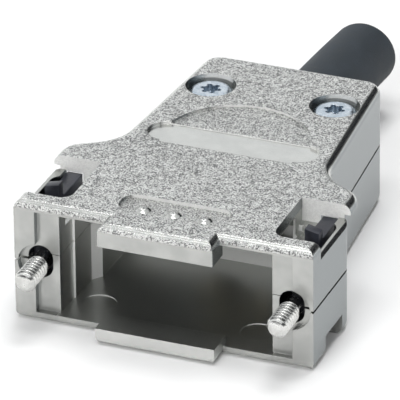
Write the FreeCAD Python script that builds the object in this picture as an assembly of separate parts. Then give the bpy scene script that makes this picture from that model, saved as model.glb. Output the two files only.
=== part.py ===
import FreeCAD, Part
import math
import os

from FreeCAD import Vector

# Metal hood for a 15-way D-sub plug, in millimetres.
# X runs across the hood, +Y from the plug face towards the cable, +Z up.
# The model is built with the plug face at Y = 0 and the underside at Z = 0.
# It is then moved back along Y, so that the origin is the centre of its footprint.

# Fits and clearances
FIT = 0.05
RUNNING_CLEARANCE = 0.05
THREAD_CLEARANCE = 0.02
SCREW_PLAY = 0.15
TRAVEL_SPARE = 0.2

# How far joined shapes run into each other, and cutting shapes run past
ROOTED = 0.1
OVER = 2.0
TOLERANCE = 1e-5

# Outside of the two cast shells
SCREW_TO_SIDE = 3.14
HOOD_HEIGHT = 16.6
BODY_LENGTH = 46.7
EAR_STEP = 5.8
SIDE_TAPER = 2.05
EAR_ROOF_LENGTH = 16.7
WAIST_RUN = 3.5
EAR_ROOF_THICKNESS = 1.4
EAR_ROOF_CORNER_R = 3.2
EAR_LENGTH = 13.6
EAR_CORNER_R = 2.2
EAR_INNER_R = 1.5
WAIST_R = 6.0
REAR_CORNER_R = 2.4
EDGE_R = 1.15

# Walls of the shells
TOP_WALL = 1.6
FLOOR_WALL = 1.3
SIDE_WALL = 1.3
REAR_WALL = 1.5
EAR_INNER_WALL = 0.9
EAR_SIDE_WALL = 1.1

# Parting line between the shells
SEAM_Z = 8.3
SEAM_GAP = 0.3
TONGUE_HEIGHT = 1.0
TONGUE_THICKNESS = 0.5
TONGUE_CLEARANCE = 0.08

# Mouth and inside of the hood
EAR_WIDTH = 5.7
PILLAR_DEPTH = 2.6
FACE_RECESS = 0.9
RECESS_EDGE = 2.75
RECESS_LAND = 0.1
FIRST_STEP_Y = 5.1
FIRST_STEP = 0.3
SECOND_STEP_Y = 10.2
SECOND_STEP = 1.0
SECOND_STEP_RUN = 1.3
DAM_Y = 21.1
DAM_THICKNESS = 1.2
DAM_HEIGHT = 3.7
DAM_NOTCH_R = 4.3
EJECTOR_MARK_R = 2.2
EJECTOR_MARK_INSET = 3.5
EJECTOR_MARK_Y = 4.9
EJECTOR_MARK_DEPTH = 0.1

# Tabs in front of the mouth
TOP_TAB_WIDTH = 15.2
TOP_TAB_REACH = 2.5
TOP_TAB_HEIGHT = 3.05
BOTTOM_TAB_WIDTH = 15.8
BOTTOM_TAB_REACH = 3.0
BOTTOM_TAB_HEIGHT = 2.3

# Windows in the ears
WINDOW_WIDTH = 6.4
WINDOW_Y = 2.6
WINDOW_LENGTH = 10.5
WINDOW_RIM = 0.8
WINDOW_RIM_DROP = 1.9
WINDOW_RIM_CHAMFER = 0.4
WINDOW_SILL_DROP = 4.0
WINDOW_CORNER_R = 1.6
WINDOW_REAR_R = 2.0
LOWER_WINDOW_Y = 4.3
LOWER_WINDOW_HEIGHT = 2.85
LOWER_LEDGE = 1.0
LIP_HEIGHT = 3.2

# Marks on the top face
DISC_R = 9.55
DISC_Y = 24.8
DISC_DEPTH = 0.3
BAND_LENGTH = 22.9
BAND_WIDTH = 5.1
BAND_Y = 24.1
BAND_DEPTH = 0.42
GRIP_LENGTH = 14.6
GRIP_WIDTH = 4.4
GRIP_Y = 4.5
GRIP_DEPTH = 0.45
GRIP_CORNER_R = 1.9
DOME_R = 1.0
DOME_HEIGHT = 0.4
DOME_PITCH = 4.05
DOME_Y = 3.9

# Screws that join the shells
SHELL_SCREW_INSET = 3.5
SHELL_SCREW_Y = 37.9
SHELL_SCREW_R = 1.5
SHELL_SCREW_LENGTH = 9.5
SHELL_HEAD_R = 2.9
SHELL_HEAD_HEIGHT = 1.9
SHELL_HEAD_SUNK = 0.5
SHELL_HEAD_ROUND = 0.9
COUNTERBORE_R = 3.27
POST_WALL = 1.45
PILOT_FLOOR = 1.0
CUP_WALL = 0.8
STAR_R = 1.05
STAR_LOBE_R = 0.33
STAR_CORE_R = 0.95
STAR_DEPTH = 1.1

# Jackscrews, 4-40 UNC. Their pitch is a 15-way connector's, and the hood's width follows it
JACKSCREW_PITCH = 33.32
JACKSCREW_Z = 7.85
JACKSCREW_R = 1.42
JACKSCREW_REACH = 4.6
JACKSCREW_TIP = 0.4
SHANK_R = 1.25
NECK_R = 1.1
JACKSCREW_HEAD_R = 2.0
JACKSCREW_HEAD_LENGTH = 5.05
HEAD_BORE_CLEARANCE = 0.2
DRIVE_SLOT_WIDTH = 0.8
DRIVE_SLOT_DEPTH = 1.3
SLOT_HOLE_WIDTH = 3.3
SLOT_HOLE_HEIGHT = 4.4
SLOT_HOLE_Z = 8.1
FACE_BORE_R = 2.7

# Plastic carriers that hold the jackscrews
CARRIER_FRONT_GAP = 0.5
CARRIER_LENGTH = 6.1
CARRIER_TRAVEL = 2.4
CARRIER_BELOW_SILL = 0.4
CARRIER_TAIL_WIDTH = 2.0
CARRIER_TAIL_OFFSET = 0.44
CARRIER_TAIL_BELOW_TOP = 2.25
CARRIER_TAIL_SHORT = 0.2
CARRIER_TAIL_CLEARANCE = 0.2
CARRIER_POST_SETBACK = 3.1
CARRIER_POST_WIDTH = 1.9
CARRIER_POST_DEPTH = 1.4
CARRIER_POST_BELOW_TOP = 0.4
CARRIER_POST_ABOVE_FLOOR = 0.5
CARRIER_POST_OFFSET = 0.6
CARRIER_POST_SLOPE = 0.45
CARRIER_SIDE_CLEARANCE = 0.2
CARRIER_FLOOR_CLEARANCE = 0.15
CARRIER_SLOT_SHARE = 0.86

# Cable sleeve at the rear
CABLE_Z = 8.1
SLEEVE_ROOT_R = 4.7
SLEEVE_END_R = 4.4
SLEEVE_REACH = 23.2
SLEEVE_BORE_R = 3.2
SLEEVE_TAIL = 1.7
SLEEVE_END_ROUND = 0.3
COLLAR_R = 5.6
COLLAR_LENGTH = 1.4
SLEEVE_FIT = 0.1
SLEEVE_RIB = 1.3

# Strain relief inside
CLAMP_X = 7.6
CLAMP_Y = 28.5
CLAMP_WIDTH = 5.0
CLAMP_THICKNESS = 1.0
CLAMP_FOOT_END = 10.1
CLAMP_GAP = 0.8
CLAMP_FOOT_DROP = 0.7
CLAMP_HOLE_FLOOR = 0.8
CLAMP_SCREW_R = 1.25
CLAMP_SCREW_LENGTH = 5.6
CLAMP_HEAD_R = 2.2
CLAMP_HEAD_HEIGHT = 1.6
CLAMP_HEAD_ROUND = 0.7
CLAMP_RECESS_WIDTH = 0.6
CLAMP_RECESS_LENGTH = 2.6
CLAMP_RECESS_DEPTH = 0.9
NUT_FLATS = 5.0
NUT_HEIGHT = 2.0
NUT_POCKET_CLEARANCE = 0.05
CLAMP_POST_R = 3.5
FERRULE_R = 3.5
FERRULE_WALL = 0.5
FERRULE_LENGTH = 8.2
FERRULE_FLANGE = 0.75
FERRULE_FLANGE_LENGTH = 0.9

# Places worked out from the sizes above
SCREW_X = JACKSCREW_PITCH / 2
HALF_WIDTH = SCREW_X + SCREW_TO_SIDE
HALF_MOUTH = HALF_WIDTH - EAR_WIDTH
HALF_WAIST = HALF_WIDTH - EAR_STEP
HALF_REAR = HALF_WAIST - SIDE_TAPER
SHELL_SCREW_X = HALF_REAR - SHELL_SCREW_INSET
EJECTOR_MARK_X = HALF_MOUTH - EJECTOR_MARK_INSET
WAIST_Y = EAR_ROOF_LENGTH + WAIST_RUN
WINDOW_X = HALF_WIDTH - WINDOW_WIDTH
CEILING_Z = HOOD_HEIGHT - TOP_WALL
RECESS_TOP_Z = HOOD_HEIGHT - EDGE_R - RECESS_LAND
REAR_INSIDE_Y = BODY_LENGTH - REAR_WALL
POCKET_INNER_X = HALF_MOUTH + EAR_INNER_WALL
POCKET_OUTER_X = HALF_WIDTH - EAR_SIDE_WALL
WINDOW_OUTER_X = HALF_WIDTH - WINDOW_RIM
WINDOW_REAR_Y = WINDOW_Y + WINDOW_LENGTH
WINDOW_RIM_Z = HOOD_HEIGHT - WINDOW_RIM_DROP
WINDOW_SILL_Z = HOOD_HEIGHT - WINDOW_SILL_DROP
EAR_ROOF_Z = HOOD_HEIGHT - EAR_ROOF_THICKNESS
LOWER_RIM_Z = SEAM_Z - SEAM_GAP / 2
UPPER_RIM_Z = SEAM_Z + SEAM_GAP / 2
SIDE_SLOPE = SIDE_TAPER / (BODY_LENGTH - WAIST_Y)
CARRIER_Y = PILLAR_DEPTH + CARRIER_FRONT_GAP
CARRIER_REAR_Y = CARRIER_Y + CARRIER_LENGTH
CARRIER_POST_Y = CARRIER_Y + CARRIER_POST_SETBACK
CARRIER_POST_REAR_Y = CARRIER_POST_Y + CARRIER_POST_DEPTH
EAR_POCKET_REAR_Y = CARRIER_REAR_Y + CARRIER_TRAVEL + TRAVEL_SPARE
LOWER_WINDOW_REAR_Y = CARRIER_POST_REAR_Y + CARRIER_TRAVEL + TRAVEL_SPARE
CARRIER_TOP_Z = WINDOW_SILL_Z - CARRIER_BELOW_SILL
TAIL_X = SCREW_X + CARRIER_TAIL_OFFSET - CARRIER_TAIL_WIDTH / 2
TAIL_OUTER_X = TAIL_X + CARRIER_TAIL_WIDTH
TAIL_BASE_Z = CARRIER_TOP_Z - ROOTED
TAIL_TOP_Z = HOOD_HEIGHT - CARRIER_TAIL_BELOW_TOP
SHELL_SEAT_Z = HOOD_HEIGHT - SHELL_HEAD_SUNK - SHELL_HEAD_HEIGHT
POST_R = SHELL_SCREW_R + POST_WALL
CLAMP_RING_R = FERRULE_R + FIT + CLAMP_THICKNESS
UPPER_FOOT_Z = CABLE_Z - CLAMP_FOOT_DROP
LOWER_FOOT_Z = UPPER_FOOT_Z - CLAMP_GAP - CLAMP_THICKNESS
SLEEVE_HOLE_R = SLEEVE_ROOT_R + SLEEVE_FIT
COLLAR_REAR_Y = REAR_INSIDE_Y - SLEEVE_FIT
COLLAR_FRONT_Y = COLLAR_REAR_Y - COLLAR_LENGTH
RIB_REAR_Y = COLLAR_FRONT_Y - SLEEVE_FIT
RIB_FRONT_Y = RIB_REAR_Y - SLEEVE_RIB
SLEEVE_END_Y = BODY_LENGTH + SLEEVE_REACH
CENTRE_Y = (SLEEVE_END_Y - JACKSCREW_REACH) / 2


def box(x0, x1, y0, y1, z0, z1):
    return Part.makeBox(x1 - x0, y1 - y0, z1 - z0, Vector(x0, y0, z0))


def upright(x, y, z0, z1, radius):
    return Part.makeCylinder(radius, z1 - z0, Vector(x, y, z0), Vector(0, 0, 1))


def along_y(x, z, y0, y1, radius):
    return Part.makeCylinder(radius, y1 - y0, Vector(x, y0, z), Vector(0, 1, 0))


def corner_arc(before, corner, after, radius):
    """Tangent arc that rounds one corner of an outline: its start, middle and end."""
    to_before = (before - corner).normalize()
    to_after = (after - corner).normalize()
    half_angle = to_before.getAngle(to_after) / 2
    run = radius / math.tan(half_angle)
    bisector = (to_before + to_after).normalize()
    middle = corner + bisector * (radius / math.sin(half_angle) - radius)
    return corner + to_before * run, middle, corner + to_after * run


def outline(points):
    """Closed wire through (x, y, corner radius) points at Z = 0."""
    corners = [Vector(x, y, 0) for x, y, radius in points]
    edges = []
    spans = []
    for i, (x, y, radius) in enumerate(points):
        before = corners[i - 1]
        after = corners[(i + 1) % len(corners)]
        if radius > 0:
            start, middle, end = corner_arc(before, corners[i], after, radius)
            spans.append((start, end))
            edges.append(Part.Arc(start, middle, end).toShape())
        else:
            spans.append((corners[i], corners[i]))
    for i, (start, end) in enumerate(spans):
        after = spans[(i + 1) % len(spans)][0]
        if end.distanceToPoint(after) > TOLERANCE:
            edges.append(Part.LineSegment(end, after).toShape())
    return Part.Wire(Part.__sortEdges__(edges))


def prism(points, z0, z1):
    face = Part.Face(outline(points))
    face.translate(Vector(0, 0, z0))
    return face.extrude(Vector(0, 0, z1 - z0))


def profile_along_y(points, y0, y1):
    """Solid with a straight-sided (x, z) profile, drawn out along Y."""
    wire = Part.makePolygon([Vector(x, y0, z) for x, z in points + points[:1]])
    return Part.Face(wire).extrude(Vector(0, y1 - y0, 0))


def mirrored(shape):
    return shape.mirror(Vector(0, 0, 0), Vector(1, 0, 0))


def pair(shape):
    return [shape, mirrored(shape)]


def join(shape, extras):
    return shape.multiFuse(extras)


def cut(shape, tools):
    return shape.cut(Part.makeCompound(tools))


def symmetric(half):
    """Full outline from the right half's points, listed from front to rear."""
    left = [(-x, y, radius) for x, y, radius in reversed(half)]
    return half + left


def side_x(y):
    """Half width of the tapered body at one place along the hood."""
    return HALF_WAIST - SIDE_SLOPE * (y - WAIST_Y)


def roof_outline():
    """Outline of the top plate, which runs on over the rear of the ears."""
    return symmetric([
        (HALF_WIDTH, 0, 0),
        (HALF_WIDTH, EAR_ROOF_LENGTH, EAR_ROOF_CORNER_R),
        (HALF_WAIST, WAIST_Y, WAIST_R),
        (HALF_REAR, BODY_LENGTH, REAR_CORNER_R),
    ])


def body_outline():
    """Outline below the top plate, where the ears are shorter."""
    return symmetric([
        (HALF_WIDTH, 0, 0),
        (HALF_WIDTH, EAR_LENGTH, EAR_CORNER_R),
        (side_x(EAR_LENGTH), EAR_LENGTH, EAR_INNER_R),
        (HALF_REAR, BODY_LENGTH, REAR_CORNER_R),
    ])


def rim_edges(shape, levels):
    """Edges that lie flat at one of the given heights."""
    found = []
    for edge in shape.Edges:
        bounds = edge.BoundBox
        for level in levels:
            if abs(bounds.ZMin - level) < TOLERANCE and abs(bounds.ZMax - level) < TOLERANCE:
                found.append(edge)
    return found


def hood_block():
    body = prism(body_outline(), 0, EAR_ROOF_Z)
    body = body.makeFillet(EDGE_R, rim_edges(body, [0]))
    roof = prism(roof_outline(), EAR_ROOF_Z, HOOD_HEIGHT)
    roof = roof.makeFillet(EDGE_R, rim_edges(roof, [HOOD_HEIGHT]))
    return body.fuse(roof)


def chamber_outline(grow):
    """Inside of the hood behind its pillars, widened by grow on both sides."""
    first = HALF_MOUTH + grow
    second = first - FIRST_STEP
    third = second - SECOND_STEP
    slant_end_y = SECOND_STEP_Y + SECOND_STEP_RUN
    return symmetric([
        (first, PILLAR_DEPTH, 0),
        (first, FIRST_STEP_Y, 0),
        (second, FIRST_STEP_Y, 0),
        (second, SECOND_STEP_Y, 0),
        (third, slant_end_y, 0),
        (side_x(WAIST_Y) - SIDE_WALL + grow, WAIST_Y, 0),
        (side_x(REAR_INSIDE_Y) - SIDE_WALL + grow, REAR_INSIDE_Y, 0),
    ])


def chamber():
    inside = prism(chamber_outline(0), FLOOR_WALL, CEILING_Z)
    mouth = box(-HALF_MOUTH, HALF_MOUTH, -OVER, PILLAR_DEPTH, FLOOR_WALL, CEILING_Z)
    return [inside, mouth]


def face_recess():
    """Sunk field of the plug face, with a round pocket about each jackscrew."""
    half = HALF_WIDTH - RECESS_EDGE
    field = box(-half, half, -OVER, FACE_RECESS, FLOOR_WALL, RECESS_TOP_Z)
    bore = along_y(SCREW_X, SLOT_HOLE_Z, -OVER, FACE_RECESS, FACE_BORE_R)
    return [field] + pair(bore)


def jackscrew_holes():
    """Upright slotted holes through the pillars."""
    radius = SLOT_HOLE_WIDTH / 2
    rise = SLOT_HOLE_HEIGHT / 2 - radius
    high = along_y(SCREW_X, SLOT_HOLE_Z + rise, 0, PILLAR_DEPTH + OVER, radius)
    low = along_y(SCREW_X, SLOT_HOLE_Z - rise, 0, PILLAR_DEPTH + OVER, radius)
    middle = box(SCREW_X - radius, SCREW_X + radius, 0, PILLAR_DEPTH + OVER,
                 SLOT_HOLE_Z - rise, SLOT_HOLE_Z + rise)
    return pair(high) + pair(low) + pair(middle)


def ear_pockets():
    """Space in each ear for the carrier, and the bore for the jackscrew's head."""
    pocket = box(POCKET_INNER_X, POCKET_OUTER_X, PILLAR_DEPTH, EAR_POCKET_REAR_Y,
                 FLOOR_WALL, WINDOW_SILL_Z + ROOTED)
    bore = along_y(SCREW_X, JACKSCREW_Z, CARRIER_REAR_Y, EAR_LENGTH + OVER,
                   JACKSCREW_HEAD_R + HEAD_BORE_CLEARANCE)
    return pair(pocket) + pair(bore)


def top_windows():
    """Windows in the top of the ears, open to the side above a low rim."""
    above = HOOD_HEIGHT + OVER
    beyond = HALF_WIDTH + OVER
    mouth = prism([
        (WINDOW_X, WINDOW_Y, WINDOW_CORNER_R),
        (beyond, WINDOW_Y, 0),
        (beyond, WINDOW_REAR_Y, 0),
        (WINDOW_X, WINDOW_REAR_Y, 0),
    ], WINDOW_RIM_Z, above)
    well = prism([
        (WINDOW_X, WINDOW_Y, WINDOW_CORNER_R),
        (WINDOW_OUTER_X, WINDOW_Y, 0),
        (WINDOW_OUTER_X, EAR_POCKET_REAR_Y, WINDOW_REAR_R),
        (WINDOW_X, EAR_POCKET_REAR_Y, 0),
    ], WINDOW_SILL_Z, above)
    chamfer = profile_along_y([
        (HALF_WIDTH - WINDOW_RIM_CHAMFER, WINDOW_RIM_Z),
        (beyond, WINDOW_RIM_Z + OVER),
        (beyond, WINDOW_RIM_Z - WINDOW_RIM_CHAMFER - OVER),
        (HALF_WIDTH, WINDOW_RIM_Z - WINDOW_RIM_CHAMFER),
    ], WINDOW_Y, WINDOW_REAR_Y)
    return pair(mouth) + pair(well) + pair(chamfer)


def tail_notches():
    """Notches that let each carrier's tail out under the top plate."""
    x0 = TAIL_X - CARRIER_TAIL_CLEARANCE
    x1 = TAIL_OUTER_X + CARRIER_TAIL_CLEARANCE
    y0 = EAR_POCKET_REAR_Y - OVER
    through = box(x0, x1, y0, EAR_LENGTH + OVER, TAIL_BASE_Z - CARRIER_TAIL_CLEARANCE,
                  TAIL_TOP_Z + CARRIER_TAIL_CLEARANCE)
    shelf = box(WINDOW_X, x1, y0, WINDOW_REAR_Y, HOOD_HEIGHT - LIP_HEIGHT,
                WINDOW_RIM_Z + ROOTED)
    return pair(through) + pair(shelf)


def bottom_windows():
    """Notches in the underside of the ears, with a ledge that carries the carrier."""
    notch = box(POCKET_INNER_X + LOWER_LEDGE, HALF_WIDTH + OVER, LOWER_WINDOW_Y,
                LOWER_WINDOW_REAR_Y, -OVER, LOWER_WINDOW_HEIGHT)
    return pair(notch)


def cable_exit():
    hole = along_y(0, CABLE_Z, RIB_FRONT_Y - OVER, BODY_LENGTH + OVER, SLEEVE_HOLE_R)
    groove = along_y(0, CABLE_Z, RIB_REAR_Y, REAR_INSIDE_Y, COLLAR_R + SLEEVE_FIT)
    return [hole, groove]


def sleeve_rib(z0, z1):
    """Cross wall in front of the sleeve's collar."""
    half = side_x(RIB_REAR_Y) - SIDE_WALL / 2
    return box(-half, half, RIB_FRONT_Y, RIB_REAR_Y, z0, z1)


def tongue_region(spare):
    """Band along the parting line that the lower shell's tongue fills."""
    top = SEAM_Z + TONGUE_HEIGHT + spare
    base = LOWER_RIM_Z - spare
    outer = prism(chamber_outline(TONGUE_THICKNESS + spare), base, top)
    reach = box(-HALF_WIDTH, HALF_WIDTH, PILLAR_DEPTH, RIB_FRONT_Y + spare, base, top)
    side = outer.common(reach).cut(prism(chamber_outline(0), base, top))
    pillar = box(HALF_MOUTH, SCREW_X + spare, FACE_RECESS, PILLAR_DEPTH, base, top)
    return join(side, pair(pillar))


def top_marks():
    """Shallow disc, label band and grip recess in the top face."""
    above = HOOD_HEIGHT + OVER
    disc = upright(0, DISC_Y, HOOD_HEIGHT - DISC_DEPTH, above, DISC_R)
    half = BAND_LENGTH / 2
    end_r = BAND_WIDTH / 2
    band = prism(symmetric([
        (half, BAND_Y - BAND_WIDTH / 2, end_r),
        (half, BAND_Y + BAND_WIDTH / 2, end_r),
    ]), HOOD_HEIGHT - BAND_DEPTH, above)
    half = GRIP_LENGTH / 2
    grip = prism(symmetric([
        (half, GRIP_Y - GRIP_WIDTH / 2, GRIP_CORNER_R),
        (half, GRIP_Y + GRIP_WIDTH / 2, GRIP_CORNER_R),
    ]), HOOD_HEIGHT - GRIP_DEPTH, above)
    return [disc, band, grip]


def grip_domes():
    """Row of low domes that rise from the grip recess."""
    floor_z = HOOD_HEIGHT - GRIP_DEPTH
    ball_r = (DOME_R ** 2 + DOME_HEIGHT ** 2) / (2 * DOME_HEIGHT)
    domes = []
    for step in (-1, 0, 1):
        x = step * DOME_PITCH
        ball = Part.makeSphere(ball_r, Vector(x, DOME_Y, floor_z + DOME_HEIGHT - ball_r))
        cap = upright(x, DOME_Y, floor_z - ROOTED, floor_z + DOME_HEIGHT + ROOTED, DOME_R)
        domes.append(ball.common(cap))
    return domes


def shell_screw_posts(z0, z1, radius):
    return pair(upright(SHELL_SCREW_X, SHELL_SCREW_Y, z0, z1, radius))


def top_tab():
    half = TOP_TAB_WIDTH / 2
    base = HOOD_HEIGHT - TOP_TAB_HEIGHT
    root = FACE_RECESS + EDGE_R
    block = box(-half, half, -TOP_TAB_REACH, root, base, HOOD_HEIGHT)
    block = block.makeFillet(EDGE_R, rim_edges(block, [HOOD_HEIGHT]))
    behind = box(-half - OVER, half + OVER, FACE_RECESS, root + OVER, base - OVER, CEILING_Z)
    return block.cut(behind)


def bottom_tab():
    half = BOTTOM_TAB_WIDTH / 2
    root = FACE_RECESS + EDGE_R
    block = box(-half, half, -BOTTOM_TAB_REACH, root, 0, BOTTOM_TAB_HEIGHT)
    block = block.makeFillet(EDGE_R, rim_edges(block, [0]))
    behind = box(-half - OVER, half + OVER, FACE_RECESS, root + OVER, FLOOR_WALL,
                 BOTTOM_TAB_HEIGHT + OVER)
    return block.cut(behind)


def upper_shell():
    block = hood_block()
    shell = block.common(box(-HALF_WIDTH, HALF_WIDTH, 0, BODY_LENGTH,
                             UPPER_RIM_Z, HOOD_HEIGHT))
    shell = cut(shell, chamber() + face_recess())
    cup_z = SHELL_SEAT_Z - CUP_WALL
    cups = shell_screw_posts(cup_z, HOOD_HEIGHT - EDGE_R, COUNTERBORE_R + CUP_WALL)
    posts = shell_screw_posts(SEAM_Z, cup_z, POST_R)
    inner = [part.common(block) for part in cups + posts]
    inner.append(sleeve_rib(UPPER_RIM_Z, CEILING_Z))
    shell = join(shell, inner)
    holes = shell_screw_posts(0, HOOD_HEIGHT, SHELL_SCREW_R + SCREW_PLAY)
    counterbores = shell_screw_posts(SHELL_SEAT_Z, HOOD_HEIGHT + OVER, COUNTERBORE_R)
    shell = cut(shell, holes + counterbores + cable_exit() + jackscrew_holes())
    shell = cut(shell, ear_pockets() + top_windows() + tail_notches() + top_marks())
    shell = shell.cut(tongue_region(TONGUE_CLEARANCE))
    return join(shell, grip_domes() + [top_tab()]).removeSplitter()


def clamp_post(x):
    """Post with a pocket for the nut, cleared for the clamp's round middle."""
    post = upright(x, CLAMP_Y, FLOOR_WALL - ROOTED, LOWER_FOOT_Z, CLAMP_POST_R)
    pocket = hexagon(x, CLAMP_Y, LOWER_FOOT_Z - NUT_HEIGHT, LOWER_FOOT_Z + OVER,
                     NUT_FLATS + 2 * NUT_POCKET_CLEARANCE)
    hole = upright(x, CLAMP_Y, FLOOR_WALL + CLAMP_HOLE_FLOOR, LOWER_FOOT_Z,
                   CLAMP_SCREW_R + FIT)
    round_middle = along_y(0, CABLE_Z, CLAMP_Y - CLAMP_POST_R - OVER,
                           CLAMP_Y + CLAMP_POST_R + OVER, CLAMP_RING_R + 2 * FIT)
    return cut(post, [pocket, hole, round_middle])


def dam():
    """Low cross wall in front of the strain relief, notched for the cable."""
    half = side_x(DAM_Y) - SIDE_WALL / 2
    wall = box(-half, half, DAM_Y, DAM_Y + DAM_THICKNESS, FLOOR_WALL - ROOTED,
               FLOOR_WALL + DAM_HEIGHT)
    notch = along_y(0, CABLE_Z, DAM_Y - OVER, DAM_Y + DAM_THICKNESS + OVER, DAM_NOTCH_R)
    return wall.cut(notch)


def lower_shell():
    shell = hood_block().common(box(-HALF_WIDTH, HALF_WIDTH, 0, BODY_LENGTH,
                                    0, LOWER_RIM_Z))
    shell = cut(shell, chamber() + face_recess())
    posts = shell_screw_posts(FLOOR_WALL - ROOTED, SEAM_Z, POST_R)
    shell = join(shell, posts + [sleeve_rib(FLOOR_WALL - ROOTED, LOWER_RIM_Z)])
    shell = join(shell, [tongue_region(0)])
    pilots = shell_screw_posts(FLOOR_WALL + PILOT_FLOOR, SEAM_Z + OVER, SHELL_SCREW_R)
    shell = cut(shell, pilots + cable_exit() + jackscrew_holes())
    shell = cut(shell, ear_pockets() + bottom_windows())
    marks = pair(upright(EJECTOR_MARK_X, EJECTOR_MARK_Y, FLOOR_WALL - EJECTOR_MARK_DEPTH,
                         FLOOR_WALL + OVER, EJECTOR_MARK_R))
    shell = cut(shell, marks)
    extras = [clamp_post(CLAMP_X), clamp_post(-CLAMP_X), dam(), bottom_tab()]
    return join(shell, extras).removeSplitter()


def hexagon(x, y, z0, z1, flats):
    radius = flats / math.sqrt(3)
    points = []
    for i in range(6):
        angle = math.radians(30 + 60 * i)
        points.append((x + radius * math.cos(angle), y + radius * math.sin(angle), 0))
    return prism(points, z0, z1)


def shell_screw(x):
    """Round-headed screw with a six-lobed recess."""
    top = SHELL_SEAT_Z + SHELL_HEAD_HEIGHT
    head = upright(x, SHELL_SCREW_Y, SHELL_SEAT_Z, top, SHELL_HEAD_R)
    head = head.makeFillet(SHELL_HEAD_ROUND, rim_edges(head, [top]))
    shank = upright(x, SHELL_SCREW_Y, SHELL_SEAT_Z - SHELL_SCREW_LENGTH,
                    SHELL_SEAT_Z + ROOTED, SHELL_SCREW_R - THREAD_CLEARANCE)
    recess = [upright(x, SHELL_SCREW_Y, top - STAR_DEPTH, top + OVER, STAR_CORE_R)]
    for i in range(6):
        angle = math.radians(60 * i)
        lobe_x = x + STAR_R * math.cos(angle)
        lobe_y = SHELL_SCREW_Y + STAR_R * math.sin(angle)
        recess.append(upright(lobe_x, lobe_y, top - STAR_DEPTH, top + OVER, STAR_LOBE_R))
    return cut(join(head, [shank]), recess)


def jackscrew(x):
    """Screw threaded up to the plug face, with a waist for the carrier and a slotted head."""
    tip_y = -JACKSCREW_REACH
    neck_front = CARRIER_Y - RUNNING_CLEARANCE
    neck_rear = CARRIER_REAR_Y + RUNNING_CLEARANCE
    head_rear = neck_rear + JACKSCREW_HEAD_LENGTH
    tip = Part.makeCone(JACKSCREW_R - JACKSCREW_TIP, JACKSCREW_R, JACKSCREW_TIP,
                        Vector(x, tip_y, JACKSCREW_Z), Vector(0, 1, 0))
    thread = along_y(x, JACKSCREW_Z, tip_y + JACKSCREW_TIP, 0, JACKSCREW_R)
    shank = along_y(x, JACKSCREW_Z, 0, neck_front, SHANK_R)
    neck = along_y(x, JACKSCREW_Z, neck_front, neck_rear, NECK_R)
    head = along_y(x, JACKSCREW_Z, neck_rear, head_rear, JACKSCREW_HEAD_R)
    slot = box(x - JACKSCREW_HEAD_R - OVER, x + JACKSCREW_HEAD_R + OVER,
               head_rear - DRIVE_SLOT_DEPTH, head_rear + OVER,
               JACKSCREW_Z - DRIVE_SLOT_WIDTH / 2, JACKSCREW_Z + DRIVE_SLOT_WIDTH / 2)
    return join(tip, [thread, shank, neck, head]).cut(slot)


def screw_carrier():
    """Plastic block for the right ear: a post through both windows, and a tail."""
    x0 = POCKET_INNER_X + CARRIER_SIDE_CLEARANCE
    x1 = POCKET_OUTER_X - CARRIER_SIDE_CLEARANCE
    z0 = FLOOR_WALL + CARRIER_FLOOR_CLEARANCE
    block = box(x0, x1, CARRIER_Y, CARRIER_REAR_Y, z0, CARRIER_TOP_Z)
    inner_x = SCREW_X + CARRIER_POST_OFFSET - CARRIER_POST_WIDTH / 2
    outer_x = inner_x + CARRIER_POST_WIDTH
    post_top = HOOD_HEIGHT - CARRIER_POST_BELOW_TOP
    post = profile_along_y([
        (inner_x, CARRIER_POST_ABOVE_FLOOR),
        (outer_x, CARRIER_POST_ABOVE_FLOOR),
        (outer_x, post_top - CARRIER_POST_SLOPE),
        (inner_x, post_top),
    ], CARRIER_POST_Y, CARRIER_POST_REAR_Y)
    tail = box(TAIL_X, TAIL_OUTER_X, CARRIER_POST_REAR_Y - ROOTED,
               EAR_LENGTH - CARRIER_TAIL_SHORT, TAIL_BASE_Z, TAIL_TOP_Z)
    body = join(block, [post, tail])
    bore_r = NECK_R + RUNNING_CLEARANCE
    bore = along_y(SCREW_X, JACKSCREW_Z, CARRIER_Y - OVER, CARRIER_REAR_Y + OVER, bore_r)
    gap = bore_r * CARRIER_SLOT_SHARE
    snap_slot = box(x0 - OVER, SCREW_X, CARRIER_Y - OVER, CARRIER_REAR_Y + OVER,
                    JACKSCREW_Z - gap, JACKSCREW_Z + gap)
    return cut(body, [bore, snap_slot]).removeSplitter()


def cable_sleeve():
    """Rubber sleeve whose collar sits in the groove at the rear of the shells."""
    root = along_y(0, CABLE_Z, RIB_FRONT_Y - SLEEVE_TAIL, BODY_LENGTH, SLEEVE_ROOT_R)
    tail = Part.makeCone(SLEEVE_ROOT_R, SLEEVE_END_R, SLEEVE_REACH,
                         Vector(0, BODY_LENGTH, CABLE_Z), Vector(0, 1, 0))
    end_edges = []
    for edge in tail.Edges:
        if edge.BoundBox.YMin > SLEEVE_END_Y - TOLERANCE:
            end_edges.append(edge)
    tail = tail.makeFillet(SLEEVE_END_ROUND, end_edges)
    collar = along_y(0, CABLE_Z, COLLAR_FRONT_Y, COLLAR_REAR_Y, COLLAR_R)
    bore = along_y(0, CABLE_Z, 0, SLEEVE_END_Y + OVER, SLEEVE_BORE_R)
    return join(root, [tail, collar]).cut(bore).removeSplitter()


def cable_ferrule():
    y0 = CLAMP_Y - CLAMP_WIDTH / 2 - FERRULE_FLANGE_LENGTH - FIT
    tube = along_y(0, CABLE_Z, y0, y0 + FERRULE_LENGTH, FERRULE_R)
    flange = along_y(0, CABLE_Z, y0, y0 + FERRULE_FLANGE_LENGTH,
                     FERRULE_R + FERRULE_FLANGE)
    bore = along_y(0, CABLE_Z, y0 - OVER, y0 + FERRULE_LENGTH + OVER,
                   FERRULE_R - FERRULE_WALL)
    return tube.fuse(flange).cut(bore).removeSplitter()


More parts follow.
